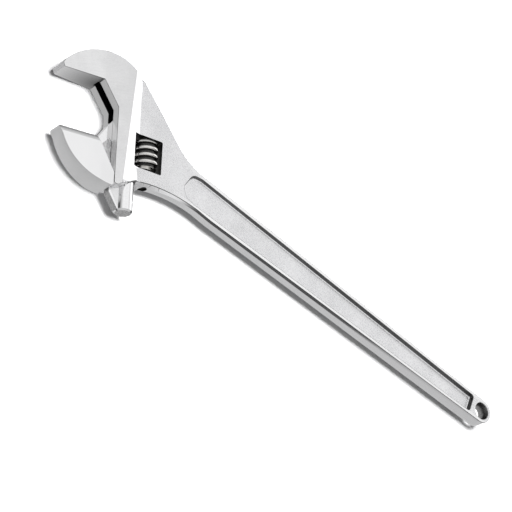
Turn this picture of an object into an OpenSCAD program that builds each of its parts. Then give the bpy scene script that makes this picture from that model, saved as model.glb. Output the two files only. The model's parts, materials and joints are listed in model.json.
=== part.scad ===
// Large adjustable wrench with a worm-driven jaw, an I-section handle and a hanging hole.
//
// Frame: the origin is the centre of the hanging hole on the mid-plane of the tool.
// +X runs along the handle towards the head, +Z through the thickness, and +Y is the side
// on which the movable jaw lies. The head is designed in its own head frame: origin at the
// throat corner of the fixed jaw, u towards the jaw tips, v from the fixed jaw to the
// movable jaw. The model stands at full opening.

/* [Overall] */
// Distance along the handle from the hanging hole to the throat corner
throat_x = 553.5; // [550:0.5:556]
// Sideways offset of the throat corner from the hanging hole
throat_y = -33; // [-34:0.5:-32]
// Angle between the handle and the jaw faces
jaw_angle = 20.8; // [20:0.1:22.5]
// Full opening between the jaw faces
opening = 62.5; // [60:0.5:64]

/* [Handle] */
// Thickness of the handle at the hanging hole
end_t = 16; // [15:0.5:17]
// Thickness of the handle where the panels begin, next to the neck
grip_t = 14; // [13:0.5:15]
// Thickness of the neck where it meets the head
neck_t = 18.4; // [18:0.2:19]
// Thickness left between the two recessed panels
panel_web_t = 6; // [5:0.5:8]
// Half width at the hanging hole
end_half_w = 13.2; // [12.5:0.1:14]
// Radius of the hanging hole at mid thickness
hang_r = 7.5; // [6.5:0.1:8]
// Radius of the hanging hole's drafted mouth on the faces
hang_rim_r = 9.5; // [9:0.1:10]

/* [Head] */
// Thickness of the head at the throat and the raised pads
head_t = 28; // [27:0.5:29]
// Thickness of the fixed jaw at its tip
fixed_tip_t = 20.4; // [19:0.2:22]
// Length of the jaw faces
jaw_l = 45; // [43:0.5:46]
// Distance from the throat corner to the slide's outer wall
wall_u = 17.5; // [17:0.1:18]

/* [Movable jaw] */
// Thickness of the movable jaw at its tip
movable_tip_t = 18.2; // [17:0.2:20]
// Thickness of the web that runs in the slot
web_t = 9; // [8.4:0.1:9.4]
// Diameter of the round slide bar
bar_d = 19.2; // [19:0.1:19.4]
// Depth of the rack teeth
rack_depth = 3.4; // [3.3:0.1:3.6]

/* [Worm] */
// Outside radius of the worm
worm_r = 14.2; // [14:0.1:14.3]
// Axial pitch of the worm thread
worm_pitch = 7.5; // [7.2:0.1:7.8]
// Radius of the pin that the worm turns on
pin_r = 3.5; // [3:0.1:4]

/* [Hidden] */
$fn = 96;

// Head outline: two tangent arcs from the jaw tip over the top to the neck
arc_a = [-6.5, 31];
arc_a_r = 64;
arc_b = [-8.9, 11.1];
arc_b_r = 44;
arc_join = 263.1;
pad_u = 46.6;
head_v = 108;

// Half thickness along the handle: thinnest where the panels begin, full at the head
handle_half = [[-20, end_t / 2], [400, grip_t / 2], [440, grip_t / 2 + 0.3],
               [478, neck_t / 2], [545, neck_t / 2]];

// Slide bore and the bar in it
bar_u = -37.6;
bar_r = bar_d / 2;
bore_r = bar_r + 0.2;
bore_end_v = -4;
bar_top_v = opening - 2.2;
bar_end_v = opening + 67;
slot_t = web_t + 0.5;
ridge_v = 26;

// Worm, its window and its pin
worm_u = -58.4;
worm_v0 = 47.2;
worm_v1 = 79.6;
window_u0 = -74.6;
window_u1 = -40.8;
window_v0 = 43.5;
window_v1 = 80;
root_r = worm_r - rack_depth + 0.2;
thread_v0 = 48.2;
thread_v1 = 75;
hub_r = 8.5;
lead_angle = atan(worm_pitch / (2 * PI * (worm_r + root_r) / 2));
pin_v0 = 34;
pin_v1 = 94.5;
pin_head_r = 4.8;
pin_head_l = 5;
spring_r = 5.4;
spring_wire_r = 0.6;
spring_well_v = 51;
spring_well_r = 6.6;

// Points of an arc about c, from angle a0 to a1 in n steps
function arc(c, r, a0, a1, n) =
    [for (i = [0 : n]) let (a = a0 + (a1 - a0) * i / n) [c[0] + r * cos(a), c[1] + r * sin(a)]];

// A point of the head frame in the frame of the whole tool
function in_row(p) = [throat_x + p[0] * cos(jaw_angle) - p[1] * sin(jaw_angle),
                      throat_y + p[0] * sin(jaw_angle) + p[1] * cos(jaw_angle)];

// Faces of a closed sweep: n rings of m points each, capped at both ends
function sweep_faces(n, m) = concat(
    [[for (k = [m - 1 : -1 : 0]) k]],
    [for (i = [0 : n - 2], k = [0 : m - 1])
        let (a = m * i + k, b = m * i + (k + 1) % m)
        each [[a, b, a + m], [b, b + m, a + m]]],
    [[for (k = [0 : m - 1]) m * (n - 1) + k]]);

// A polygon whose corners are rounded: each corner is [x, y, radius]
function corner_points(p, q, s) =
    let (a = [p[0] - q[0], p[1] - q[1]] / norm([p[0] - q[0], p[1] - q[1]]),
         b = [s[0] - q[0], s[1] - q[1]] / norm([s[0] - q[0], s[1] - q[1]]),
         half = acos(a * b) / 2,
         reach = q[2] / tan(half),
         centre = [q[0], q[1]] + (a + b) / norm(a + b) * q[2] / sin(half),
         from = [q[0], q[1]] + a * reach - centre,
         to = [q[0], q[1]] + b * reach - centre,
         a0 = atan2(from[1], from[0]),
         turn = atan2(from[0] * to[1] - from[1] * to[0], from * to))
    q[2] <= 0 ? [[q[0], q[1]]] : arc(centre, q[2], a0, a0 + turn, 8);
function rounded(c) =
    [for (i = [0 : len(c) - 1])
        each corner_points(c[(i + len(c) - 1) % len(c)], c[i], c[(i + 1) % len(c)])];

// Places children given in the head frame
module in_head() {
    translate([throat_x, throat_y, 0]) rotate([0, 0, jaw_angle]) children();
}

// A shape given in (u, z), drawn from v0 to v1 across the head
module across(v0, v1) {
    translate([0, v1, 0]) rotate([90, 0, 0]) linear_extrude(v1 - v0) children();
}

// A round bar along v
module bar_along_v(u, v0, v1, r) {
    translate([u, v1, 0]) rotate([90, 0, 0]) cylinder(r = r, h = v1 - v0);
}

// ---- forged body ----

module head_outline() {
    tip_a = atan2(-4.5 - arc_a[1], jaw_l - arc_a[0]) + 360;
    neck_a = atan2(-24.8 - arc_b[1], -37.2 - arc_b[0]) + 360;
    polygon(concat(
        [[-wall_u, 25], [0, 0], [jaw_l - 1, 0], [jaw_l, -1.5]],
        arc(arc_a, arc_a_r, tip_a, arc_join, 20),
        arc(arc_b, arc_b_r, arc_join, neck_a, 14),
        [[-pad_u, -18.8], [-pad_u, 94.5], [-wall_u - 3, head_v], [-wall_u, head_v - 1.5]]));
}

// Thickness of the head: it thins towards the tip, and the pads slope down to the neck
module head_profile() {
    tip = fixed_tip_t / 2;
    full = head_t / 2;
    neck = neck_t / 2;
    polygon([[jaw_l + 1, tip], [0, full], [-36, full], [-pad_u - 1, neck],
             [-pad_u - 1, -neck], [-36, -full], [0, -full], [jaw_l + 1, -tip]]);
}

module head_solid() {
    intersection() {
        translate([0, 0, -head_t / 2]) linear_extrude(head_t) head_outline();
        across(-40, head_v + 5) head_profile();
    }
}

// Lower side of the neck: the rims on both faces, and the parting line that stands out
neck_rim = arc([407.5, 179.4], 157.6, 296, 271.2, 8);
neck_parting = arc([397.2, 156.1], 134.8, 304.6, 271.2, 8);

module handle_outline() {
    polygon(concat(
        arc([0, 0], end_half_w, 92, 268, 24),
        [[370, -19]],
        arc([411, -99.8], 80.6, 90.9, 60.2, 8),
        [[515, -67.5], [530, -40], [497, 50]],
        neck_rim,
        [[385, 21.3]]));
}

// Flank of the neck and of the head's lower end, sloping from both rims to the parting line
module lower_flank() {
    depth = 7;
    inset = 0.2;
    head_rim = [in_row([-wall_u - 3, head_v]), in_row([-36, 100])];
    head_parting = [in_row([-wall_u - 3, head_v + 0.4]), in_row([-36, 104.6])];
    rim = concat(head_rim, neck_rim);
    parting = concat(head_parting, neck_parting);
    half = concat([head_t / 2, head_t / 2], [for (p = neck_rim) lookup(p[0], handle_half)]);
    points = [for (i = [0 : len(rim) - 1]) let (x = rim[i][0], y = rim[i][1] - inset)
        each [[x, y - depth, 0], [x, y, inset - half[i]],
              [parting[i][0], parting[i][1], 0], [x, y, half[i] - inset]]];
    polyhedron(points, sweep_faces(len(rim), 4));
}

// Recess between the rims, rounded at the head end
module panel_outline() {
    polygon(rounded([[16, -9.2, 3], [16, 9.8, 3], [409, 17, 6], [420, 15.5, 6],
                     [427.5, 7, 8], [423, -12, 8], [411, -14.6, 4]]));
}

module handle_profile() {
    last = len(handle_half) - 1;
    polygon(concat(handle_half,
                   [for (i = [last : -1 : 0]) [handle_half[i][0], -handle_half[i][1]]]));
}

module handle_solid() {
    wide = 200;
    difference() {
        intersection() {
            translate([0, 0, -neck_t / 2]) linear_extrude(neck_t) handle_outline();
            translate([0, wide / 2, 0]) rotate([90, 0, 0]) linear_extrude(wide) handle_profile();
        }
        for (side = [0, 1]) mirror([0, 0, side])
            translate([0, 0, panel_web_t / 2]) linear_extrude(end_t) panel_outline();
    }
}

// Slot for the web, open to the throat, and the bore for the slide bar
module slide_way() {
    translate([0, 0, -slot_t / 2]) linear_extrude(slot_t)
        polygon([[2.5, 1], [2.5, 0], [-15, -ridge_v - 1.4], [-22, -ridge_v - 1.4],
                 [-29.5, -16], [-36, bore_end_v], [bar_u, bore_end_v], [bar_u, head_v + 5],
                 [-10, head_v + 5], [-10, 24]]);
    bar_along_v(bar_u, bore_end_v, head_v + 5, bore_r);
}

module worm_window() {
    translate([0, 0, -head_t]) linear_extrude(2 * head_t)
        polygon(rounded([[window_u0, window_v0, 2], [window_u1, window_v0, 2],
                         [window_u1, window_v1, 2], [window_u0, window_v1, 2]]));
}

// Forged hole: a short straight land at mid thickness, drafted out to both faces
module hang_hole() {
    land = 4;
    draft_h = (end_t - land) / 2 + 0.1;
    cylinder(r = hang_r, h = end_t + 2, center = true);
    for (side = [0, 1]) mirror([0, 0, side])
        translate([0, 0, land / 2]) cylinder(r1 = hang_r, r2 = hang_rim_r, h = draft_h);
}

module pin_hole() {
    bar_along_v(worm_u, pin_v0, window_v1 + 20, pin_r);
    bar_along_v(worm_u, pin_v1 - pin_head_l, window_v1 + 20, pin_head_r);
}

module forged_body() {
    color("silver") difference() {
        union() {
            in_head() head_solid();
            handle_solid();
            lower_flank();
        }
        in_head() {
            slide_way();
            worm_window();
            pin_hole();
        }
        hang_hole();
    }
}

// ---- movable jaw ----

module hook_outline() {
    polygon(concat(
        [[jaw_l, opening + 1.5], [jaw_l - 1, opening], [2, opening],
         [-wall_u + 0.8, opening + 32.5], [-wall_u + 0.3, opening + 34],
         [-wall_u + 0.3, opening + 46.5], [-wall_u + 1, opening + 48]],
        arc([-17, opening - 13.5], 62, 90, 21, 18)));
}

module hook_profile() {
    tip = movable_tip_t / 2;
    full = head_t / 2 - 0.2;
    polygon([[jaw_l + 1, tip], [-2, full], [-30, full], [-30, -full], [-2, -full],
             [jaw_l + 1, -tip]]);
}

module hook() {
    intersection() {
        translate([0, 0, -head_t / 2]) linear_extrude(head_t) hook_outline();
        across(opening - 5, opening + 60) hook_profile();
    }
}

module web() {
    end_v = bar_end_v - 1;
    translate([0, 0, -web_t / 2]) linear_extrude(web_t)
        polygon([[2, opening], [0, opening - 0.5], [-wall_u + 0.3, opening - ridge_v],
                 [-21, opening - ridge_v], [-28.5, opening - 15.5], [bar_u, bar_top_v + 4],
                 [bar_u, end_v - 2], [bar_u + bar_r, end_v], [-wall_u, end_v - 15.5],
                 [-wall_u, opening + 46], [0, opening + 30]]);
}

// Round bar with chamfered ends
module slide_bar() {
    chamfer = 1.6;
    translate([bar_u, bar_end_v, 0]) rotate([90, 0, 0]) rotate_extrude()
        polygon([[0, 0], [bar_r - chamfer, 0], [bar_r, chamfer],
                 [bar_r, bar_end_v - bar_top_v - chamfer],
                 [bar_r - chamfer, bar_end_v - bar_top_v], [0, bar_end_v - bar_top_v]]);
}

// One tooth space of the rack, in line with the worm thread at v
module rack_gap(v) {
    floor_w = 3.3;
    mouth_w = 5.5;
    out = 2;
    slope = (mouth_w - floor_w) / 2 / rack_depth;
    translate([bar_u - bar_r, v, 0]) rotate([lead_angle, 0, 0])
        translate([0, 0, -bar_d]) linear_extrude(2 * bar_d)
            polygon([[rack_depth, -floor_w / 2], [rack_depth, floor_w / 2],
                     [-out, mouth_w / 2 + slope * out], [-out, -mouth_w / 2 - slope * out]]);
}

// Axial place of the thread's crest on the side that faces the bar, first turn
thread_phase_v = thread_v0 + worm_pitch / 4;

module movable_jaw() {
    color("gainsboro") in_head() difference() {
        union() {
            hook();
            web();
            slide_bar();
        }
        for (k = [2 : 10])
            rack_gap(thread_phase_v + k * worm_pitch);
    }
}

// ---- worm ----

// Thread section at angle a: a trapezium whose height fades at both ends
thread_steps = 36;
thread_turns = (thread_v1 - thread_v0) / worm_pitch;
thread_n = ceil(thread_turns * thread_steps);
function thread_ring(i) =
    let (a = 360 * i / thread_steps,
         v = thread_v0 + worm_pitch * i / thread_steps,
         fade = min(1, i / 6 + 0.05, (thread_n - i) / 6 + 0.05),
         crest = root_r + (worm_r - root_r) * fade,
         foot = root_r - 0.6)
    [for (p = [[foot, -2.3], [crest, -1.45], [crest, 1.45], [foot, 2.3]])
        [p[0] * sin(a), v + p[1], p[0] * cos(a)]];

module thread() {
    polyhedron([for (i = [0 : thread_n]) each thread_ring(i)], sweep_faces(thread_n + 1, 4));
}

module worm() {
    color("dimgray") in_head() difference() {
        union() {
            bar_along_v(worm_u, worm_v0, thread_v1 + 1.5, root_r);
            bar_along_v(worm_u, thread_v1, worm_v1, hub_r);
            translate([worm_u, 0, 0]) thread();
        }
        bar_along_v(worm_u, worm_v0 - 5, worm_v1 + 5, pin_r + 0.04);
        bar_along_v(worm_u, worm_v0 - 5, spring_well_v, spring_well_r);
    }
}

// ---- worm pin and spring ----

module worm_pin() {
    slot_w = 1.4;
    slot_d = 1.6;
    color("gray") in_head() difference() {
        union() {
            bar_along_v(worm_u, pin_v0 + 1, pin_v1 - 1, pin_r - 0.02);
            bar_along_v(worm_u, pin_v1 - pin_head_l + 0.02, pin_v1, pin_head_r - 0.02);
        }
        translate([worm_u - slot_w / 2, pin_v1 - slot_d, -pin_head_r])
            cube([slot_w, slot_d + 1, 2 * pin_head_r]);
    }
}

module worm_spring() {
    turns = 3.5;
    steps = 24;
    sides = 8;
    v0 = window_v0 + spring_wire_r + 0.05;
    v1 = spring_well_v - spring_wire_r - 0.1;
    n = turns * steps;
    rings = [for (i = [0 : n], k = [0 : sides - 1])
        let (a = 360 * i / steps, b = -360 * k / sides,
             r = spring_r + spring_wire_r * cos(b),
             v = v0 + (v1 - v0) * i / n + spring_wire_r * sin(b))
        [r * sin(a), v, r * cos(a)]];
    color("darkgray") in_head() translate([worm_u, 0, 0])
        polyhedron(rings, sweep_faces(n + 1, sides));
}

forged_body();
movable_jaw();
worm();
worm_pin();
worm_spring();
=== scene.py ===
# %% [markdown]
# # A large adjustable wrench
# The wrench is five pieces: a forged body with a long I-section handle, a movable jaw on a slide
# bar, the worm that drives it, the pin that the worm turns on and a small spring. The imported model
# gives every piece its size and place. This lesson gives the pieces their forged and machined shapes
# and their chrome and steel finishes.

# %% Load the frame
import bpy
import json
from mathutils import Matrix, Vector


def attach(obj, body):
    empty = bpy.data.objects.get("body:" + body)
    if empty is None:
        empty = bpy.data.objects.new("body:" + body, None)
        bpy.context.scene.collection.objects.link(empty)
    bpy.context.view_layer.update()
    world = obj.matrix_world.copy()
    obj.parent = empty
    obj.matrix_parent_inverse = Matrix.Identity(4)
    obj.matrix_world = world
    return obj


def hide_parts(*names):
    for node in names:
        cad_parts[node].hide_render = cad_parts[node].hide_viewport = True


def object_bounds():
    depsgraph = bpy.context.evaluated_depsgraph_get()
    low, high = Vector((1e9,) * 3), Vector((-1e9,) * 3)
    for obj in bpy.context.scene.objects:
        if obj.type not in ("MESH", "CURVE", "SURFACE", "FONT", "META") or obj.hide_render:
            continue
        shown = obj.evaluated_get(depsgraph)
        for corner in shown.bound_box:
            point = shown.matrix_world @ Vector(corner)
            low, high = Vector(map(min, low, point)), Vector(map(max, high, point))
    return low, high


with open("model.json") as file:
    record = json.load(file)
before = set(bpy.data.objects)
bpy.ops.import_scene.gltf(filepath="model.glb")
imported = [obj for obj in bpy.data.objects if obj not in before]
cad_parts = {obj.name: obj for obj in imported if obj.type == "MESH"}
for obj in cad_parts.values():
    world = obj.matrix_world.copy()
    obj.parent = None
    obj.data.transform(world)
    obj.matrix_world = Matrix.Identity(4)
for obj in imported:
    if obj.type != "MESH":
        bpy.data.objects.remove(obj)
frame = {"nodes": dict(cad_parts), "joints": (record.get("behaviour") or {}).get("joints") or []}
cad_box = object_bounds()
print("CAD box", cad_box)

# %% [markdown]
# ## Two ways to say where
# The handle is easiest to describe from the hanging hole, along X. The head is turned against the
# handle, so it gets directions of its own: `reach` runs out along the jaws and `slide` runs the way
# the movable jaw travels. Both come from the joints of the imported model. All sizes are millimetres,
# and a place on the head is (u, v): u along `reach` and v along `slide`, from the throat's corner.

# %% Places on the handle and on the head
import json
import math

import bmesh
import bpy
from mathutils import Quaternion, Vector

MM = 0.001
joints = {joint["name"]: joint for joint in frame["joints"]}
up = Vector((0, 0, 1))
slide = Vector(joints["jaw_slide"]["axis"]).normalized()
reach = slide.cross(up)
worm_u, worm_v = -58.4, 60
throat = Vector(joints["worm_spin"]["pos_m"]) - (reach * worm_u + slide * worm_v) * MM
opening = -joints["jaw_slide"]["range_m"][0] / MM + 0.1


def on_handle(x, y, z=0):
    return Vector((x, y, z)) * MM


def on_head(u, v, z=0):
    return throat + (reach * u + slide * v + up * z) * MM


def head_uv(point):
    away = (point - throat) / MM
    return away.dot(reach), away.dot(slide)


print("throat corner at", [round(c / MM, 1) for c in throat], "mm, full opening", round(opening, 1))

# %% [markdown]
# ## Drawing an outline
# A forging starts as an outline. A vertex is dropped at the first point and extruded from point to
# point, as a pen would go. A round stretch gets its points from its circle, so the outline keeps
# only the circles and corners that shape it.


# %% Arcs, pen and selection
def arc(centre, radius, start, end, steps):
    """Points on a circle, from the start angle to the end angle in degrees."""
    turn = [math.radians(start + (end - start) * i / steps) for i in range(steps + 1)]
    return [(centre[0] + radius * math.cos(a), centre[1] + radius * math.sin(a)) for a in turn]


def new_piece(name):
    """An empty mesh object at the origin, in edit mode."""
    bpy.ops.object.select_all(action="DESELECT")
    bpy.ops.mesh.primitive_plane_add(size=MM)
    piece = bpy.context.object
    piece.name = piece.data.name = name
    bpy.ops.object.mode_set(mode="EDIT")
    bpy.ops.mesh.select_all(action="SELECT")
    bpy.ops.mesh.delete(type="VERT")
    return piece


def draw(points, closed=True):
    """Draws edges through the points, in edit mode."""
    bpy.ops.mesh.select_all(action="DESELECT")
    bpy.ops.mesh.primitive_plane_add(size=MM, location=points[0])
    bpy.ops.mesh.merge(type="CENTER")
    for here, there in zip(points, points[1:] + (points[:1] if closed else [])):
        bpy.ops.mesh.extrude_vertices_move(TRANSFORM_OT_translate={"value": there - here})


def pick(test, kind="VERT"):
    """Selects the vertices, edges or faces that pass a test, in edit mode."""
    bpy.ops.mesh.select_mode(type=kind)
    bpy.ops.mesh.select_all(action="DESELECT")
    mesh = bmesh.from_edit_mesh(bpy.context.object.data)
    for element in {"VERT": mesh.verts, "EDGE": mesh.edges, "FACE": mesh.faces}[kind]:
        element.select_set(test(element))
    bmesh.update_edit_mesh(bpy.context.object.data)


def tidy_mesh():
    """Merges doubles, turns all faces outwards and goes back to object mode."""
    bpy.ops.mesh.select_mode(type="VERT")
    bpy.ops.mesh.select_all(action="SELECT")
    bpy.ops.mesh.remove_doubles(threshold=0.005 * MM)
    bpy.ops.mesh.normals_make_consistent(inside=False)
    bpy.ops.object.mode_set(mode="OBJECT")


print("a quarter circle has", len(arc((0, 0), 1, 0, 90, 6)), "points in 6 steps")

# %% [markdown]
# ## Solids from outlines
# Two kinds of solid do most of the work. A prism is one outline pushed along a direction. A loft
# joins two outlines with the same number of points, which gives a forging its draft: its walls lean
# out from both faces to the parting line in the middle, where the two dies met.


# %% Prisms and lofts
def prism(name, points, along):
    piece = new_piece(name)
    draw(points)
    bpy.ops.mesh.select_all(action="SELECT")
    bpy.ops.mesh.remove_doubles(threshold=0.005 * MM)
    bpy.ops.mesh.edge_face_add()
    bpy.ops.mesh.extrude_region_move(TRANSFORM_OT_translate={"value": along})
    tidy_mesh()
    return piece


def cap(test):
    """Fills the open loop of edges that passes the test."""
    pick(lambda edge: edge.is_boundary and test(edge), "EDGE")
    bpy.ops.mesh.edge_face_add()


def loft(name, first, last, cuts=0, half=False):
    """Joins two outlines. A half is left open at the first one, for a mirror to complete."""
    piece = new_piece(name)
    draw(first)
    draw(last)
    bpy.ops.mesh.select_all(action="SELECT")
    bpy.ops.mesh.remove_doubles(threshold=0.005 * MM)
    bpy.ops.mesh.bridge_edge_loops(number_cuts=cuts, interpolation="LINEAR")
    face = sum((a.cross(b) for a, b in zip(first, first[1:] + first[:1])), Vector())
    halfway = ((first[0] + last[0]) / 2).dot(face)
    far_side = last[0].dot(face) > halfway

    def is_end(edge):
        return (edge.verts[0].co.dot(face) > halfway) == far_side

    cap(is_end)
    if not half:
        cap(lambda edge: not is_end(edge))
    tidy_mesh()
    return piece


# %% [markdown]
# ## Modifiers that are applied at once
# Cuts and joins are booleans, rounded edges are bevels, and a half becomes a whole by a mirror. Each
# is applied as soon as it is made, so the next step works on the real mesh. Cuts and bevels leave
# crumbs, which are edges of no length, so the mesh is cleaned after each.


# %% Mirrors, cuts and rounded edges
def activate(piece):
    bpy.ops.object.select_all(action="DESELECT")
    piece.select_set(True)
    bpy.context.view_layer.objects.active = piece


def apply_modifier(piece, kind, **settings):
    modifier = piece.modifiers.new(kind.title(), kind)
    for name, value in settings.items():
        setattr(modifier, name, value)
    activate(piece)
    bpy.ops.object.modifier_apply(modifier=modifier.name)


def mirror_half(piece):
    """Completes a half piece across the parting plane."""
    apply_modifier(piece, "MIRROR", use_axis=(False, False, True), merge_threshold=0.005 * MM)
    bpy.ops.object.mode_set(mode="EDIT")
    tidy_mesh()


def clean(piece):
    """Takes away the crumbs that cuts and bevels leave: edges of no length and faces of no area."""
    bpy.ops.object.mode_set(mode="EDIT")
    bpy.ops.mesh.select_mode(type="VERT")
    bpy.ops.mesh.select_all(action="SELECT")
    bpy.ops.mesh.remove_doubles(threshold=0.03 * MM)
    bpy.ops.mesh.dissolve_degenerate(threshold=0.01 * MM)
    bpy.ops.object.mode_set(mode="OBJECT")


def combine(piece, tool, how):
    """Joins, cuts or trims a piece with a tool, which is used up."""
    apply_modifier(piece, "BOOLEAN", operation=how, object=tool, solver="EXACT")
    bpy.data.objects.remove(tool)
    clean(piece)


def soften(piece, width, segments=3, angle=50):
    """Rounds the edges that turn by more than an angle."""
    apply_modifier(piece, "BEVEL", width=width * MM, segments=segments, limit_method="ANGLE",
                   angle_limit=math.radians(angle), miter_outer="MITER_ARC")
    clean(piece)


def report(piece):
    """Prints the size of a mesh and whether it is closed."""
    mesh = bmesh.new()
    mesh.from_mesh(piece.data)
    loose = sum(not edge.is_manifold for edge in mesh.edges)
    volume = mesh.calc_volume() / MM ** 3 / 1000
    print(f"{piece.name}: {len(mesh.faces)} faces, {volume:.1f} cm3, {loose} open edges")
    mesh.free()


# %% [markdown]
# ## The handle blank
# The handle is drop forged. Its rims lie a little inside the parting line, and on the lower side of
# the neck the wall leans out much further, to carry the flank of the head. One function gives the
# outline at any height above the parting plane, so the two outlines of the loft always match.

# %% Thickness and draft along the handle
parting_half = 3.2
draft_along = [(-14, 0), (80, 0), (260, 0.16), (560, 0.16)]
handle_half = [(-20, 8.1), (0, 8.1), (60, 7.6), (170, 7.35), (300, 7.0), (395, 6.6), (412, 6.6),
               (426, 6.85), (439, 7.3), (451, 7.9), (461, 8.4), (469, 8.8), (488, 9.2), (548, 9.2)]


def between(table, x):
    """Straight-line reading of a table of pairs."""
    for (x0, y0), (x1, y1) in zip(table, table[1:]):
        if x <= x1:
            return y0 + (y1 - y0) * (x - x0) / (x1 - x0)
    return table[-1][1]


def lean(parting, rim, half, height):
    """A point on a wall that runs from the parting line to the rim, at a height."""
    share = height / half
    return tuple(p + (r - p) * share for p, r in zip(parting, rim))


print("the handle is", 2 * between(handle_half, 200), "mm thick at x = 200")

# %% Outline of the handle at a height
tail_radius = 13.2
far_neck_x, far_flare = 370, 5.8
near_neck_x, near_flare = 385, 8.1


def handle_loop(height):
    """Tail, far wall, far neck, inside of the head, near neck and near wall, at a height."""
    def inset(x):
        return between(draft_along, x) * (height - parting_half)

    neck_parting = arc((397.2, 156.1), 134.8, 304.6, 271.2, 16)
    neck_rim = arc((399.7, 180), 160, 298.5, 271.2, 16)
    flank = [lean(p, r, between(handle_half, p[0]), height) for p, r in zip(neck_parting, neck_rim)]
    outline = arc((0, 0), tail_radius - inset(0), 92, 268, 32)
    outline += [(x, -tail_radius - far_flare * x / far_neck_x + inset(x))
                for x in (150, 250, 330, far_neck_x)]
    outline += arc((411, -99.8), 80.6 + inset(411), 90.9, 60.2, 14)
    outline += [(515 - inset(515) / 2, -67.5 + inset(515) * 0.87), (530, -40), (497, 50)]
    outline += flank
    outline += [(x, tail_radius + near_flare * x / near_neck_x - inset(x))
                for x in (near_neck_x, 330, 250, 150)]
    return [on_handle(x, y, height) for x, y in outline]


print("outline of", len(handle_loop(parting_half)), "points")

# %% Loft the handle and trim it to its thickness
above = 11
body = loft("body_forging", handle_loop(parting_half), handle_loop(above), half=True)
bpy.ops.object.mode_set(mode="EDIT")
pick(lambda edge: edge.is_boundary, "EDGE")
bpy.ops.mesh.extrude_region_move(TRANSFORM_OT_translate={"value": -up * parting_half * MM})
tidy_mesh()
mirror_half(body)
side_view = handle_half + [(x, -half) for x, half in reversed(handle_half)]
side_trim = prism("side_trim", [on_handle(x, -150, z) for x, z in side_view], Vector((0, 0.3, 0)))
combine(body, side_trim, "INTERSECT")
report(body)

# %% [markdown]
# ## The recessed panels
# Between its rims the handle is thinned to a web, which makes an I section: light, but stiff in the
# direction that a user pulls. The die leaves the recess with leaning walls and a round foot. The
# tool that cuts it is lofted from a smaller outline at the web to a wider one above the rims, its
# foot is bevelled round, and it is mirrored to cut both faces at once.


# %% Rounded corners and a moved outline
def rounded(corners, steps=6):
    """Points of a polygon whose corners are (x, y, radius)."""
    points = []
    for i, (x, y, radius) in enumerate(corners):
        here = Vector((x, y))
        back = (Vector(corners[i - 1][:2]) - here).normalized()
        onward = (Vector(corners[(i + 1) % len(corners)][:2]) - here).normalized()
        half = back.angle(onward) / 2
        centre = here + (back + onward).normalized() * radius / math.sin(half)
        start = here + back * radius / math.tan(half) - centre
        turn = (onward * radius / math.tan(half) + here - centre).angle_signed(start)
        first = math.degrees(math.atan2(start.y, start.x))
        points += arc(centre, radius, first, first + math.degrees(turn), steps)
    return points


def moved_in(corners, distance):
    """The corners of a clockwise polygon after every side moves inwards."""
    moved = []
    for i, (x, y, radius) in enumerate(corners):
        back = (Vector((x, y)) - Vector(corners[i - 1][:2])).normalized()
        onward = (Vector(corners[(i + 1) % len(corners)][:2]) - Vector((x, y))).normalized()
        sides = Vector((back.y, -back.x)), Vector((onward.y, -onward.x))
        step = (sides[0] + sides[1]) * distance / (1 + sides[0].dot(sides[1]))
        moved.append((x + step.x, y + step.y, radius - distance * 0.5))
    return moved


print("a square with round corners has", len(rounded([(0, 0, 1), (0, 9, 1), (9, 9, 1), (9, 0, 1)])),
      "points")

# %% Cut the panels
panel_corners = [(16, -9.2, 3), (16, 9.8, 3), (409, 17, 6), (420, 15.5, 6), (427.5, 7, 8),
                 (423, -12, 8), (411, -14.6, 4)]
web_half = 3
foot = [on_handle(x, y, web_half) for x, y in rounded(moved_in(panel_corners, 1))]
mouth = [on_handle(x, y, above) for x, y in rounded(moved_in(panel_corners, -1.2))]
panel_tool = loft("panel_tool", foot, mouth)
bpy.ops.object.mode_set(mode="EDIT")
pick(lambda e: all(abs(v.co.z - web_half * MM) < 0.01 * MM for v in e.verts), "EDGE")
bpy.ops.mesh.bevel(offset=1.1 * MM, segments=3, affect="EDGES")
tidy_mesh()
mirror_half(panel_tool)
report(panel_tool)
combine(body, panel_tool, "DIFFERENCE")
soften(body, 0.8, 3, 50)
report(body)

# %% [markdown]
# ## The head
# The head is thicker than the handle. Its faces are ground flat, they thin towards the tip of the
# fixed jaw, and a bevelled band slopes down from them to the neck. The outer edge is two arcs that
# meet without a kink. The lower end leans out to the parting line like the neck does.

# %% Outline of the head at a height
pad_half, neck_half = 14, 9.2
slide_wall_u, band_foot_u, head_back_u = -17.5, -47.2, -50.5
pad_corner_u, pad_corner_v, pad_turn = -36.5, -20, 0.077


def pad_edge(v):
    """Where the ground face ends and the bevelled band begins."""
    return pad_corner_u + (v - pad_corner_v) * pad_turn


def band_half(u, v):
    """Half thickness of the head on the bevelled band."""
    slope = (pad_half - neck_half) / (pad_edge(v) - band_foot_u)
    return min(pad_half, pad_half - slope * (pad_edge(v) - u))


def head_loop(height):
    """Throat, fixed jaw, outer arcs, back and lower end of the head, at a height."""
    inset = 0.035 * height
    outline = [(slide_wall_u, 25), (0, 0), (44, 0), (45, -1.5)]
    outline += arc((-6.5, 31), 64 - inset, 325.4, 263.1, 28)
    outline += arc((-8.9, 11.1), 44 - inset, 263.1, 231.8, 12)[1:]
    outline += [(-46.6 + inset / 2, -18.3 + inset), (head_back_u, -14.5), (head_back_u, 60)]
    for i in range(9):
        u = head_back_u + (slide_wall_u - 3 - head_back_u) * i / 8
        parting = (u, 108.4 + 0.23 * (u - slide_wall_u + 3))
        rim = (u, 108 + 0.517 * (u - slide_wall_u + 3))
        outline.append(lean(parting, rim, band_half(u, 100), height))
    outline += [(slide_wall_u, 106.6)]
    return [on_head(u, v, height) for u, v in outline]


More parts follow.
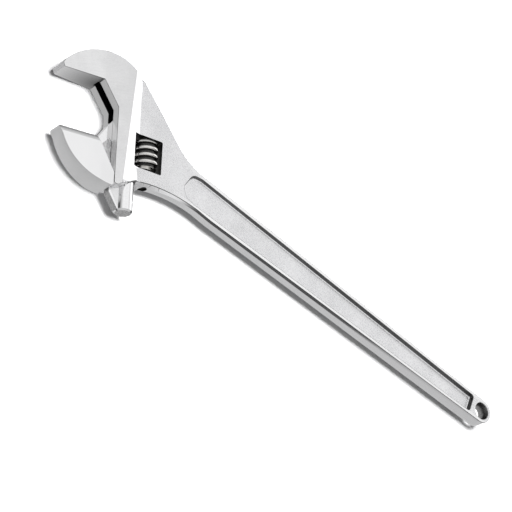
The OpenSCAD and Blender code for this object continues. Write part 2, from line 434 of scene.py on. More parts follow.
def head_section(v):
    """The head seen along the slide: full faces, taper to the tip and band to the neck."""
    back_half = band_half(head_back_u, v)
    top = [(46, 10.2), (0, pad_half), (pad_edge(v), pad_half), (head_back_u, back_half)]
    return [on_head(u, v, z) for u, z in top + [(u, -z) for u, z in reversed(top)]]


print("the band falls", pad_half - neck_half, "mm in", round(pad_edge(0) - band_foot_u, 1), "mm")

# %% Loft the head, trim it and join it to the handle
head = loft("head", head_loop(0), head_loop(16), half=True)
mirror_half(head)
combine(head, loft("head_trim", head_section(-60), head_section(120), cuts=8), "INTERSECT")
soften(head, 1, 3, 50)
report(head)
combine(body, head, "UNION")
report(body)

# %% [markdown]
# ## Machining the body
# After forging, the body is machined: a slot for the web of the movable jaw, a bore for the round
# slide bar, a window for the worm, a hole for its pin, and the hanging hole in the handle's end.


# %% Turned shapes
def lathe(name, centre, axis, outline, steps=64):
    """A turned solid: (radius, height) points are drawn beside the axis and spun about it."""
    side = axis.orthogonal().normalized()
    points = [centre + (side * r + axis * h) * MM for r, h in outline]
    piece = new_piece(name)
    draw(points, closed=outline[0][0] > 0)
    bpy.ops.mesh.select_all(action="SELECT")
    bpy.ops.mesh.remove_doubles(threshold=0.005 * MM)
    bpy.ops.mesh.spin(steps=steps, angle=math.tau, center=centre, axis=axis)
    tidy_mesh()
    return piece


def bar(name, u, v0, v1, radius, chamfer=0):
    """A round bar along the slide direction, chamfered at both ends."""
    outline = [(0, v0), (radius - chamfer, v0), (radius, v0 + chamfer)]
    outline += [(radius, v1 - chamfer), (radius - chamfer, v1), (0, v1)]
    corners = [point for i, point in enumerate(outline) if point != outline[i - 1]]
    return lathe(name, on_head(u, 0), slide, corners)


# %% Tools for the slot, the bore and the window
bar_u, bar_radius, bar_play = -37.6, 9.6, 0.2
window = [(-74.6, 43.5), (-40.8, 43.5), (-40.8, 80), (-74.6, 80)]
window_round = 1.5
way_out = 120
slot_half = 4.75
slot_side = [(2.5, 1), (2.5, 0), (-15, -27.4), (-22, -27.4), (-29.5, -16), (-36, -4), (bar_u, -4),
             (bar_u, way_out), (-10, way_out), (-10, 24)]
slot_tool = prism("slot_tool", [on_head(u, v, -slot_half) for u, v in slot_side],
                  up * 2 * slot_half * MM)
bore_tool = bar("bore_tool", bar_u, -4, way_out, bar_radius + bar_play)
window_corners = rounded([(u, v, window_round) for u, v in window])
window_tool = prism("window_tool", [on_head(u, v, -20) for u, v in window_corners], up * 40 * MM)

# %% Tools for the pin and the hanging hole, and all the cuts
pin_radius, pin_head_radius = 3.5, 4.8
pin_tool = bar("pin_tool", worm_u, 33, way_out, pin_radius)
head_tool = bar("head_tool", worm_u, 89.5, way_out, pin_head_radius)
hole_side = [(7.5, 0), (7.5, 1.6), (7.7, 2.4), (9.2, 7), (9.7, 8), (10.6, 8.6), (10.6, 12)]
hole_outline = [(r, -h) for r, h in reversed(hole_side[1:])] + hole_side
hole_tool = lathe("hole_tool", Vector(), up, [(0, -12)] + hole_outline + [(0, 12)], 96)
for tool in (slot_tool, bore_tool, window_tool, pin_tool, head_tool, hole_tool):
    report(tool)
    combine(body, tool, "DIFFERENCE")
    report(body)

# %% [markdown]
# ## The movable jaw
# The hook matches the fixed jaw, and it is forged with its web and its round slide bar in one. Its
# clamping edge is eased by a soft hollow on both faces, which is cut with a tool lofted along the
# edge, because a bevel would be the same width all the way.

# %% Outline and sections of the hook
hook_half, hook_tip_half = 13.8, 9.1


def hook_loop(height):
    """Tip, clamping face, edge along the web and outer arc of the hook, at a height."""
    inset = 0.045 * height
    outline = [(45, opening + 1.5), (44, opening), (3.2, opening), (-16.2, opening + 32.5)]
    outline += [(-17.2, opening + 34.5), (-17.2, opening + 46)]
    outline += arc((-17, opening - 13.5), 62 - inset, 88.5, 21, 30)
    return [on_head(u, v, height) for u, v in outline]


def hook_thickness(u):
    return min(hook_half, hook_half + (hook_tip_half - hook_half) * (u + 2) / 48)


def hook_section(v):
    """The hook seen along the slide, thinner towards its tip."""
    top = [(46, hook_thickness(46)), (-2, hook_half), (-30, hook_half)]
    return [on_head(u, v, z) for u, z in top + [(u, -z) for u, z in reversed(top)]]


def easing_section(u):
    """The hollow along the clamping edge, as distance behind the edge and drop below the face."""
    hollow = [(-1, 1.8), (0, 1.6), (1.3, 1), (3, 0.45), (5.5, 0), (6, -2), (-1, -2)]
    return [on_head(u, opening + back, hook_thickness(u) - drop) for back, drop in hollow]


print("the hook is", round(2 * hook_thickness(44), 1), "mm thick at its tip")

# %% Loft the hook and ease its edge
jaw = loft("jaw_forging", hook_loop(0), hook_loop(15), half=True)
mirror_half(jaw)
combine(jaw, loft("hook_trim", hook_section(opening - 5), hook_section(opening + 60)), "INTERSECT")
soften(jaw, 0.5, 3, 50)
easing = loft("easing", easing_section(47), easing_section(-8), cuts=6)
mirror_half(easing)
combine(jaw, easing, "DIFFERENCE")
report(jaw)

# %% [markdown]
# ## Web, slide bar and rack
# The web runs in the slot and the bar in the bore. A band of the web along the throat is machined,
# and the triangle behind it keeps its forged skin, a little lower. The rack on the bar's back takes
# the worm's thread, so its gaps are tilted like the thread.

# %% Web and slide bar
web_half_t = 4.5
bar_top_v, bar_end_v = opening - 2.2, opening + 67
web_side = [(3, opening), (0, opening - 0.5), (-17.2, opening - 26), (-21, opening - 26),
            (-28.5, opening - 15.5), (bar_u, bar_top_v + 4), (bar_u, bar_end_v - 3),
            (bar_u + bar_radius, bar_end_v - 1), (slide_wall_u, bar_end_v - 16.5),
            (slide_wall_u, opening + 46), (0, opening + 30)]
web = prism("web", [on_head(u, v, -web_half_t) for u, v in web_side], up * 2 * web_half_t * MM)
soften(web, 0.35, 2, 50)
combine(jaw, web, "UNION")
combine(jaw, bar("slide_bar", bar_u, bar_top_v, bar_end_v, bar_radius, 1.6), "UNION")

# %% Forged skin of the web
forged_side = [(-6.5, 65.5), (-14.5, 56.5), (-18, 60), (-18, 93), (-16.4, 93)]
forged_depth = 0.35
for z in (web_half_t - forged_depth, -web_half_t - forged_depth):
    skin = prism("skin", [on_head(u, v, z) for u, v in forged_side], up * 2 * forged_depth * MM)
    combine(jaw, skin, "DIFFERENCE")

# %% Rack
worm_pitch = 7.5
worm_radius, root_radius = 14.2, 11.0
thread_phase = 48.2 + worm_pitch / 4
lead_angle = math.atan(worm_pitch / (math.pi * (worm_radius + root_radius)))
gap_along = up * math.cos(lead_angle) - slide * math.sin(lead_angle)
gap_side = [(3.4, -1.65), (3.4, 1.65), (-2, 3.4), (-2, -3.4)]
gap_half_length = 20 * MM
for turn_number in range(2, 11):
    v = thread_phase + turn_number * worm_pitch
    corners = [on_head(bar_u - bar_radius + deep, v + wide) - gap_along * gap_half_length
               for deep, wide in gap_side]
    combine(jaw, prism("gap", corners, gap_along * 2 * gap_half_length), "DIFFERENCE")
report(jaw)

# %% [markdown]
# ## The worm
# The worm is turned with a helical thread whose crests are broken round for the thumb. One pitch of
# its side is drawn and run round the axis with the screw tool, the ends are cut square and filled,
# and a turned envelope gives the end chamfers and the small hub.

# %% Thread
one_pitch = [(root_radius, -3.75), (root_radius, -2.4), (11.3, -2.15), (12.6, -1.95), (13.4, -1.6),
             (13.9, -1.15), (14.15, -0.6), (worm_radius, 0), (14.15, 0.6), (13.9, 1.15),
             (13.4, 1.6), (12.6, 1.95), (11.3, 2.15), (root_radius, 2.4), (root_radius, 3.75)]
worm_axis = on_head(worm_u, 0)
start = thread_phase + 5 * worm_pitch
worm = new_piece("worm_screw")
draw([on_head(worm_u + r, start + h) for r, h in one_pitch], closed=False)
bpy.ops.mesh.select_all(action="SELECT")
bpy.ops.mesh.remove_doubles(threshold=0.005 * MM)
bpy.ops.mesh.screw(steps=48, turns=7, center=worm_axis, axis=-slide)
bpy.ops.mesh.select_all(action="SELECT")
bpy.ops.mesh.remove_doubles(threshold=0.005 * MM)
worm_below_v, worm_above_v = 46, 78
for v, clear in ((worm_below_v, {"clear_inner": True}), (worm_above_v, {"clear_outer": True})):
    bpy.ops.mesh.select_all(action="SELECT")
    bpy.ops.mesh.bisect(plane_co=on_head(worm_u, v), plane_no=slide, use_fill=True, **clear)
tidy_mesh()
report(worm)

# %% End chamfers, hub, bore and spring well
envelope = [(0, 47.2), (11.4, 47.2), (13.6, 48.6), (14.3, 50), (14.3, 73.4), (13.6, 74.8),
            (11.4, 76.2), (8.5, 76.2), (8.5, 79.1), (8, 79.6), (0, 79.6)]
combine(worm, lathe("envelope", worm_axis, slide, envelope, 96), "INTERSECT")
combine(worm, bar("worm_bore", worm_u, 40, 90, 3.54), "DIFFERENCE")
combine(worm, bar("spring_well", worm_u, 40, 51, 6.6), "DIFFERENCE")
report(worm)

# %% [markdown]
# ## Effects that the finishes share
# Plated and ground steel differ in a few ways only: the size of the grain, the direction of the
# grinding lines and how much handling has dulled it. Each effect is a node group with named sockets,
# built once, and every finish places it with its own values.


# %% Helpers for node trees
def new_group(name, inputs, output):
    """A shader node group with number or vector inputs and one number output."""
    group = bpy.data.node_groups.new(name, "ShaderNodeTree")
    for label, value in inputs.items():
        kind = "NodeSocketVector" if isinstance(value, tuple) else "NodeSocketFloat"
        socket = group.interface.new_socket(label, in_out="INPUT", socket_type=kind)
        socket.default_value = value
    group.interface.new_socket(output, in_out="OUTPUT", socket_type="NodeSocketFloat")
    return group, group.nodes.new("NodeGroupInput"), group.nodes.new("NodeGroupOutput")


def add_node(tree, kind, **settings):
    node = tree.nodes.new(kind)
    for name, value in settings.items():
        setattr(node, name, value)
    return node


# %% [markdown]
# ## Grain and grinding lines
# Blasting leaves fine pits, which are noise with its contrast raised. Grinding leaves long parallel
# scratches, which are the same noise stretched along one direction after a turn. Both give a height,
# which a finish uses for relief and for a faint change of tone.

# %% Blasted grain
grain_group, enter, leave = new_group("blasted_grain", {"Vector": (0, 0, 0), "Scale": 900}, "Height")
fine = add_node(grain_group, "ShaderNodeTexNoise")
fine.inputs["Detail"].default_value = 3
fine.inputs["Roughness"].default_value = 0.65
grain_group.links.new(enter.outputs["Vector"], fine.inputs["Vector"])
grain_group.links.new(enter.outputs["Scale"], fine.inputs["Scale"])
pits = add_node(grain_group, "ShaderNodeMapRange")
pits.inputs["From Min"].default_value = 0.36
pits.inputs["From Max"].default_value = 0.64
grain_group.links.new(fine.outputs["Fac"], pits.inputs["Value"])
grain_group.links.new(pits.outputs["Result"], leave.inputs["Height"])

print("group:", grain_group.name)

# %% Grinding lines
lines_group, enter, leave = new_group(
    "grinding_lines", {"Vector": (0, 0, 0), "Turn": (0, 0, 0), "Stretch": (60, 2600, 60)}, "Height")
turn = add_node(lines_group, "ShaderNodeVectorRotate", rotation_type="EULER_XYZ")
stretch = add_node(lines_group, "ShaderNodeVectorMath", operation="MULTIPLY")
streaks = add_node(lines_group, "ShaderNodeTexNoise")
streaks.inputs["Scale"].default_value = 1
streaks.inputs["Detail"].default_value = 4
streaks.inputs["Roughness"].default_value = 0.7
lines_group.links.new(enter.outputs["Vector"], turn.inputs["Vector"])
lines_group.links.new(enter.outputs["Turn"], turn.inputs["Rotation"])
lines_group.links.new(turn.outputs["Vector"], stretch.inputs[0])
lines_group.links.new(enter.outputs["Stretch"], stretch.inputs[1])
lines_group.links.new(stretch.outputs["Vector"], streaks.inputs["Vector"])
lines_group.links.new(streaks.outputs["Fac"], leave.inputs["Height"])

print("group:", lines_group.name)

# %% [markdown]
# ## Marks of use and painted shade
# Hands dull a finish in broad soft patches. The fixed jaw's face is bright towards its tip and has
# painted shade in the corner of the throat, standing for the shade and the dark slot it reflects
# there, so one mask grows with the distance from that corner. The rims of the handle are brighter and
# smoother than its panels and fade into the neck, so their mask comes from the place on the handle.

# %% Handling marks
marks_group, enter, leave = new_group("handling_marks", {"Vector": (0, 0, 0), "Scale": 30}, "Mask")
broad = add_node(marks_group, "ShaderNodeTexNoise")
broad.inputs["Detail"].default_value = 5
broad.inputs["Distortion"].default_value = 0.6
level = add_node(marks_group, "ShaderNodeMapRange")
level.inputs["From Min"].default_value = 0.3
level.inputs["From Max"].default_value = 0.7
marks_group.links.new(enter.outputs["Vector"], broad.inputs["Vector"])
marks_group.links.new(enter.outputs["Scale"], broad.inputs["Scale"])
marks_group.links.new(broad.outputs["Fac"], level.inputs["Value"])
marks_group.links.new(level.outputs["Result"], leave.inputs["Mask"])
print("group:", marks_group.name)

# %% Painted shade from the throat's corner
corner_shade_group, enter, leave = new_group(
    "painted_shade_from_corner", {"Vector": (0, 0, 0), "Corner": (0, 0, 0), "Reach": 0.04}, "Mask")
away = add_node(corner_shade_group, "ShaderNodeVectorMath", operation="DISTANCE")
corner_shade_group.links.new(enter.outputs["Vector"], away.inputs[0])
corner_shade_group.links.new(enter.outputs["Corner"], away.inputs[1])
corner_shade = add_node(corner_shade_group, "ShaderNodeMapRange")
corner_shade_group.links.new(away.outputs["Value"], corner_shade.inputs["Value"])
corner_shade_group.links.new(enter.outputs["Reach"], corner_shade.inputs["From Max"])
corner_shade_group.links.new(corner_shade.outputs["Result"], leave.inputs["Mask"])
print("group:", corner_shade_group.name)

# %% Polished rims
far_rim_foot, far_rim_flare = 9.1 * MM, 0.0137
near_rim_foot, near_rim_flare = 9.7 * MM, 0.0183
rim_fade_start, rim_fade_end = 0.40, 0.44
rim_group, enter, leave = new_group("polished_rims", {"Vector": (0, 0, 0)}, "Mask")
where = add_node(rim_group, "ShaderNodeSeparateXYZ")
rim_group.links.new(enter.outputs["Vector"], where.inputs["Vector"])


def rim_math(operation, first, second, third=None):
    """A math node of the group, whose inputs are numbers or other nodes' outputs."""
    node = add_node(rim_group, "ShaderNodeMath", operation=operation)
    for socket, value in zip(node.inputs, (first, second, third)):
        if isinstance(value, (int, float)):
            socket.default_value = value
        elif value is not None:
            rim_group.links.new(value, socket)
    return node.outputs["Value"]


far_line = rim_math("MULTIPLY_ADD", where.outputs["X"], far_rim_flare, far_rim_foot)
near_line = rim_math("MULTIPLY_ADD", where.outputs["X"], near_rim_flare, near_rim_foot)
far_rim = rim_math("SUBTRACT", rim_math("MULTIPLY", where.outputs["Y"], -1), far_line)
near_rim = rim_math("SUBTRACT", where.outputs["Y"], near_line)
outside = add_node(rim_group, "ShaderNodeMapRange")
outside.inputs["From Max"].default_value = 0.4 * MM
rim_group.links.new(rim_math("MAXIMUM", far_rim, near_rim), outside.inputs["Value"])
fade = add_node(rim_group, "ShaderNodeMapRange")
fade.inputs["From Min"].default_value = rim_fade_end
fade.inputs["From Max"].default_value = rim_fade_start
rim_group.links.new(where.outputs["X"], fade.inputs["Value"])
rim_mask = rim_math("MULTIPLY", outside.outputs["Result"], fade.outputs["Result"])
rim_group.links.new(rim_mask, leave.inputs["Mask"])
print("group:", rim_group.name)

# %% [markdown]
# ## Metal finishes
# Every finish is a metal whose colour and roughness move between two values under the handling
# marks, with grain and grinding lines as fine relief. The two colours tell chrome from steel, and
# the relief tells ground from blasted. One function makes them all, so each finish is a short list
# of its own values.


# %% A metal from two tones, two roughnesses and its relief
def between_values(tree, factor, first, second, kind="FLOAT"):
    """A mix node. An end is a number, a colour or another node's output."""
    mix = add_node(tree, "ShaderNodeMix", data_type=kind)
    for label, value in (("Factor", factor), ("A", first), ("B", second)):
        if isinstance(value, bpy.types.NodeSocket):
            tree.links.new(value, mix.inputs[label])
        elif isinstance(value, tuple):
            mix.inputs[label].default_value = (*value, 1)
        else:
            mix.inputs[label].default_value = value
    return mix.outputs["Result"]


def metal(name, tones, roughness, grain=(900, 0.1), lines=None, marks=30, relief=0.00002,
          rims=None, corner_shade=None):
    """Grain is (scale, share of the relief). Lines is (turn in degrees, stretch, share), rims is
    (colour, roughness) and the corner shade is (corner, reach, colour in the corner): painted shade
    that darkens the colour towards that corner."""
    material = bpy.data.materials.new(name)
    material.use_nodes = True
    tree = material.node_tree
    shader = tree.nodes["Principled BSDF"]
    shader.inputs["Metallic"].default_value = 1
    place = add_node(tree, "ShaderNodeTexCoord").outputs["Object"]

    def group(which, **values):
        node = add_node(tree, "ShaderNodeGroup", node_tree=which)
        tree.links.new(place, node.inputs["Vector"])
        for label, value in values.items():
            node.inputs[label].default_value = value
        return node.outputs[0]

    mask = group(marks_group, Scale=marks)
    height, share = group(grain_group, Scale=grain[0]), grain[1]
    if lines:
        turned, stretched, share = lines
        angles = tuple(math.radians(angle) for angle in turned)
        line_height = group(lines_group, Turn=angles, Stretch=stretched)
        height = between_values(tree, 0.75, height, line_height)
    speckle = between_values(tree, 0.6, mask, height)
    colour = between_values(tree, speckle, *tones, kind="RGBA")
    dull = add_node(tree, "ShaderNodeMapRange")
    dull.inputs["To Min"].default_value, dull.inputs["To Max"].default_value = roughness
    tree.links.new(speckle, dull.inputs["Value"])
    dullness = dull.outputs["Result"]
    # Painted shade: the colour turns to a dark one towards a corner.
    if corner_shade:
        corner, corner_shade_reach, corner_shade_colour = corner_shade
        corner_shade_mask = group(corner_shade_group, Corner=corner, Reach=corner_shade_reach)
        colour = between_values(tree, corner_shade_mask, corner_shade_colour, colour, kind="RGBA")
    if rims:
        on_rim = group(rim_group)
        colour = between_values(tree, on_rim, colour, rims[0], kind="RGBA")
        dullness = between_values(tree, on_rim, dullness, rims[1])
    bump = add_node(tree, "ShaderNodeBump")
    bump.inputs["Strength"].default_value = share
    bump.inputs["Distance"].default_value = relief
    tree.links.new(height, bump.inputs["Height"])
    tree.links.new(colour, shader.inputs["Base Color"])
    tree.links.new(dullness, shader.inputs["Roughness"])
    tree.links.new(bump.outputs["Normal"], shader.inputs["Normal"])
    print("finish:", name)
    return material


# %% [markdown]
# ## Chrome finishes
# The faces of the neck and the handle are satin and grainy, their walls smoother, and the flat
# faces of the head have the fine lines of a grinding wheel. The band, the web and the slide bar are
# polished, and the forged skin on the web stays rough. All are near-white metals, which differ in
# roughness and relief.

# %% Chrome, from satin to polished
across_jaw, along_hook = (0, 0, -35), (0, 0, -20)
fine_lines, broad_lines = (50, 2200, 50), (60, 1300, 60)
satin_chrome = metal("satin_chrome", ((0.68, 0.68, 0.69), (0.96, 0.96, 0.965)), (0.24, 0.34),
                     grain=(800, 0.5), rims=((0.97, 0.97, 0.97), 0.16))
wall_chrome = metal("wall_chrome", ((0.76, 0.76, 0.765), (0.88, 0.88, 0.885)), (0.1, 0.16),
                    grain=(1100, 0.15))
ground_chrome = metal("ground_chrome", ((0.64, 0.64, 0.645), (0.93, 0.93, 0.93)), (0.16, 0.3),
                      lines=(across_jaw, broad_lines, 0.6), relief=0.00005)
hook_chrome = metal("hook_chrome", ((0.82, 0.82, 0.825), (0.92, 0.92, 0.92)), (0.15, 0.26),
                    lines=(along_hook, fine_lines, 0.3))
# The jaw face darkens towards the throat's corner: painted shade and painted reflection of the slot.
shaded_jaw_face_chrome = metal("shaded_jaw_face_chrome", ((0.84, 0.84, 0.845), (0.95, 0.95, 0.95)), (0.16, 0.28),
                        lines=(along_hook, fine_lines, 0.3),
                        corner_shade=(throat, 0.045, (0.12, 0.12, 0.12)))
polished_chrome = metal("polished_chrome", ((0.86, 0.86, 0.865), (0.93, 0.93, 0.93)), (0.07, 0.14),
                        grain=(500, 0.08))
rough_chrome = metal("rough_chrome", ((0.5, 0.5, 0.505), (0.95, 0.95, 0.95)), (0.25, 0.45),
                     grain=(420, 1), relief=0.0002)

# %% [markdown]
# ## Dark chrome, painted shade and bare steel
# The walls of the handle's recesses, the narrow outer edges, the hole and the bore look darker than
# the rest. Their darkness is painted shade and painted reflection of dark surroundings, put in the
# finish by place, because moving the sky for one of them spoils another. The end of the slide bar is
# unpolished forged steel and darker as well. The worm is bright on its crests, and painted shade
# makes it dark between them.

# %% Painted shade on the edges and in the recesses
# Painted shade: the narrow outer edges are dark for the dark outline they show.
painted_edge_shade = metal("painted_edge_shade", ((0.05, 0.05, 0.05), (0.16, 0.16, 0.16)), (0.15, 0.25))
# Painted shade: the recess walls are dark for the shade and the dark reflection they show.
painted_recess_shade = metal("painted_recess_shade", ((0.1, 0.1, 0.1), (0.24, 0.24, 0.24)), (0.18, 0.3),
                      grain=(1100, 0.3))
forged_steel = metal("forged_steel", ((0.3, 0.3, 0.3), (0.62, 0.62, 0.62)), (0.16, 0.32),
                     grain=(420, 0.6), relief=0.0001)
slot_wall_steel = metal("slot_wall_steel", ((0.6, 0.6, 0.6), (0.82, 0.82, 0.82)), (0.18, 0.3),
                        lines=(across_jaw, fine_lines, 0.35))

# %% Bare steel, and painted shade in the hole, the cuts and the worm's roots
# Painted shade: the hanging hole's wall is dark for the shade inside the hole.
painted_hole_shade = metal("painted_hole_shade", ((0.16, 0.16, 0.16), (0.42, 0.42, 0.42)), (0.2, 0.35))
# Painted shade: the slot, the bore, the window and the pin hole are nearly black for the shade inside
# them.
painted_cut_shade = metal("painted_cut_shade", ((0.03, 0.03, 0.03), (0.07, 0.068, 0.065)), (0.35, 0.5))
worm_steel = metal("worm_steel", ((0.68, 0.67, 0.645), (0.88, 0.87, 0.85)), (0.14, 0.24),
                   grain=(900, 0.2))
# Painted shade: the worm's roots are dark for the shade between its crests.
painted_worm_root_shade = metal("painted_worm_root_shade", ((0.02, 0.02, 0.02), (0.1, 0.098, 0.095)), (0.3, 0.45))
pin_steel = metal("pin_steel", ((0.1, 0.1, 0.1), (0.2, 0.2, 0.2)), (0.3, 0.4))
spring_steel = metal("spring_steel", ((0.4, 0.4, 0.41), (0.55, 0.55, 0.56)), (0.2, 0.3))

# %% [markdown]
# ## Putting each finish where it belongs
# One forging carries several finishes, so each face gets a material slot. Marking faces by hand
# would be lost whenever the shape changes, so a test on place and direction picks them instead. The
# tests overlap, and a later one wins, so the broad finishes are painted first.


# %% Paint the faces that pass a test
def paint(piece, material, test=None):
    """Gives a piece its first finish, or gives another to the faces whose centre passes a test."""
    piece.data.materials.append(material)
    if test is None:
        return
    activate(piece)
    piece.active_material_index = len(piece.data.materials) - 1
    bpy.ops.object.mode_set(mode="EDIT")
    pick(test, "FACE")
    bpy.ops.object.material_slot_assign()
    bpy.ops.object.mode_set(mode="OBJECT")
    print(piece.name, "carries", len(piece.data.materials), "finishes, the last", material.name)


def facing(face):
    """Where a face is on the head, how high and how far it faces up or down."""
    centre = face.calc_center_median()
    u, v = head_uv(centre)
    return u, v, abs(centre.z / MM), abs(face.normal.z)


# %% Places on the head
def is_ground(face):
    """The flat raised faces of the head."""
    u, v, z, flat = facing(face)
    return flat > 0.5 and z > 9.4 and u > pad_edge(v) - 0.3


def is_band(face):
    """The sloping band between the head's flat face and the neck."""
    u, v, z, flat = facing(face)
    return 0.5 < flat < 0.985 and z > 9 and band_foot_u - 1 < u < pad_edge(v) + 0.3 and v < 100


def is_machined_wall(face):
    """The machined walls of the throat and beside the slot."""
    u, v, z, flat = facing(face)
    on_wall = abs(u - slide_wall_u) < 0.2 and 20 < v < 108
    on_slope = -17.5 < u < 0.1 and abs(v + u / 0.7) < 0.6
    return flat < 0.3 and z > 4.7 and (on_wall or on_slope or (abs(v) < 0.3 and u > 0))


def is_cut(face):
    """The slot, the bore of the slide bar, the worm's window and its pin hole."""
    u, v, z, flat = facing(face)
    in_slot = z < 4.76 and -40 < u < 3 and -28 < v < 107 and not (u > slide_wall_u and v > 30)
    in_bore = abs(math.hypot(u - bar_u, z) - bar_radius - bar_play) < 0.12
    in_window = flat < 0.3 and -74.8 < u < -40.6 and 43.3 < v < 80.2
    in_pin_hole = math.hypot(u - worm_u, z) < 4.9 and v > 30
    return in_slot or in_bore or in_window or in_pin_hole


# %% Places on the handle and the jaws
def is_handle_wall(face):
    """The walls of the handle and of its panels."""
    centre = face.calc_center_median() / MM
    return centre.x < 470 and abs(face.normal.z) < 0.6 and math.hypot(centre.x, centre.y) > 10


def is_web(face):
    """The polished web and slide bar of the movable jaw."""
    u, v, z, flat = facing(face)
    in_bar = math.hypot(u - bar_u, z) < 9.8
    return in_bar or (z < 4.6 and u < 3.1 and v < opening + 30) or (z < 4.6 and v > opening + 49)


def is_rough_web(face):
    """The sunken forged skin of the web between its machined band and the hook."""
    u, v, z, flat = facing(face)
    return z < web_half_t - forged_depth / 3 and -18.2 < u < -6 and 56 < v < 93.2


def is_jaw_face(face):
    """The face of the fixed jaw, on which a nut sits."""
    u, v, z, flat = facing(face)
    return flat < 0.3 and abs(v) < 0.3 and 0 < u < 45


def is_outside(centre):
    """Farther from the handle's axis than its panels, which widen towards the head."""
    return abs(centre.y) > 10.9 + 0.0165 * centre.x


def is_outer_edge(face):
    """The narrow rounded edge round the outside of the forging, which is painted dark as shade."""
    u, v, z, flat = facing(face)
    longest = max(edge.calc_length() for edge in face.edges)
    narrow = face.calc_area() / longest < 0.5 * MM
    centre = face.calc_center_median() / MM
    beside_window = -50 < u < -28 and 30 < v < 95
    outside = u > band_foot_u or is_outside(centre)
    return narrow and 0.2 < flat < 0.985 and outside and z > 6 and not beside_window


def is_recess_wall(face):
    """The leaning walls of the panels and the edges above them, but not the round foot."""
    centre = face.calc_center_median() / MM
    steep = 0.985 if abs(centre.z) > 4.4 else 0.5
    inside = 12 < centre.x < 432 and not is_outside(centre)
    return inside and abs(face.normal.z) < steep and math.hypot(centre.x, centre.y) > 11


def is_forged_end(face):
    """The unpolished end of the slide bar and the web's outer edge."""
    u, v, z, flat = facing(face)
    on_end = abs(face.normal.dot(slide)) > 0.85 and v > bar_end_v - 0.3
    return on_end or (flat < 0.3 and z < 4.4 and u > bar_u + 9 and v > opening + 46)


def is_worm_root(face):
    """The floor of the groove between the worm's threads."""
    u, v, z, flat = facing(face)
    return math.hypot(u - worm_u, face.calc_center_median().z / MM) < 12.9 and 47.6 < v < 76


def is_hole(face):
    """The wall of the hanging hole."""
    centre = face.calc_center_median() / MM
    return math.hypot(centre.x, centre.y) < 9.4 and abs(face.normal.z) < 0.9


# %% [markdown]
# ## Handing the pieces over
# Each finished forging stands for its CAD node and moves with its body. Flat machined faces have to
# stay flat in their reflections, so the normals are weighted by face area. Some edges turn by only
# a few degrees, too little for an angle to find, so they are marked sharp by place.


# %% Triangles, shading and the link to the frame
def hand_over(piece, body_name, node):
    """Long faces with almost straight edges leave slivers when they become triangles. Merging
    the points at the open edges of those slivers closes the mesh."""
    apply_modifier(piece, "TRIANGULATE", quad_method="BEAUTY", ngon_method="BEAUTY")
    bpy.ops.object.mode_set(mode="EDIT")
    bpy.ops.mesh.select_mode(type="VERT")
    bpy.ops.mesh.select_all(action="DESELECT")
    bpy.ops.mesh.select_non_manifold()
    bpy.ops.mesh.remove_doubles(threshold=0.4 * MM)
    bpy.ops.object.mode_set(mode="OBJECT")
    bpy.ops.object.shade_smooth_by_angle(angle=math.radians(30))
    apply_modifier(piece, "WEIGHTED_NORMAL", keep_sharp=True, weight=100)
    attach(piece, body_name)
    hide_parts(node)
    report(piece)


# %% Sharp edges by place
def on_break(edge):
    """Edges where the wall or the face of the body turns by only a few degrees."""
    at_parting = all(abs(abs(v.co.z) - parting_half * MM) < 0.02 * MM for v in edge.verts)
    places = [(*head_uv(v.co), abs(v.co.z) / MM) for v in edge.verts]
    at_pad = all(abs(u - pad_edge(v)) < 0.15 and abs(z - pad_half) < 0.1 for u, v, z in places)
    at_foot = all(abs(u - band_foot_u) < 1.4 and abs(z - neck_half) < 0.2 for u, v, z in places)
    return at_parting or at_pad or at_foot


activate(body)
bpy.ops.object.mode_set(mode="EDIT")
pick(on_break, "EDGE")
bpy.ops.mesh.mark_sharp()
bpy.ops.object.mode_set(mode="OBJECT")
print("sharp edges:", sum(edge.use_edge_sharp for edge in body.data.edges))

# %% Hand over the forgings
hand_over(body, "body", "forged_body")
hand_over(jaw, "jaw", "movable_jaw")
hand_over(worm, "worm", "worm")

# %% Finishes of the body
# Several finishes carry painted shade: the recess walls, the hole, the jaw face's corner, the outer
# edges and the cuts.
paint(body, satin_chrome)
paint(body, wall_chrome, is_handle_wall)
paint(body, painted_recess_shade, is_recess_wall)
paint(body, painted_hole_shade, is_hole)
paint(body, ground_chrome, is_ground)
paint(body, polished_chrome, is_band)
paint(body, slot_wall_steel, is_machined_wall)
paint(body, shaded_jaw_face_chrome, is_jaw_face)
paint(body, painted_edge_shade, is_outer_edge)
paint(body, painted_cut_shade, is_cut)


# %% Finishes of the jaw, the worm and its pin
def is_hook(face):
    """The flat faces of the movable jaw's hook."""
    u, v, z, flat = facing(face)
    return z > 8 and flat > 0.6


paint(jaw, ground_chrome)
paint(jaw, hook_chrome, is_hook)
paint(jaw, polished_chrome, is_web)
paint(jaw, rough_chrome, is_rough_web)
paint(jaw, forged_steel, is_forged_end)
paint(worm, worm_steel)
# The worm's roots get painted shade.
paint(worm, painted_worm_root_shade, is_worm_root)
for node, material in (("worm_pin", pin_steel), ("worm_spring", spring_steel)):
    frame["nodes"][node].data.materials.clear()
    frame["nodes"][node].data.materials.append(material)

# %% [markdown]
# ## Camera
# The wrench lies flat and is seen from above, from the movable jaw's side of the head, with a long
# lens that keeps the handle from tapering too much. The camera is placed by two angles and a distance
# from the point it looks at, and its roll lays the handle from the upper left to the lower right.

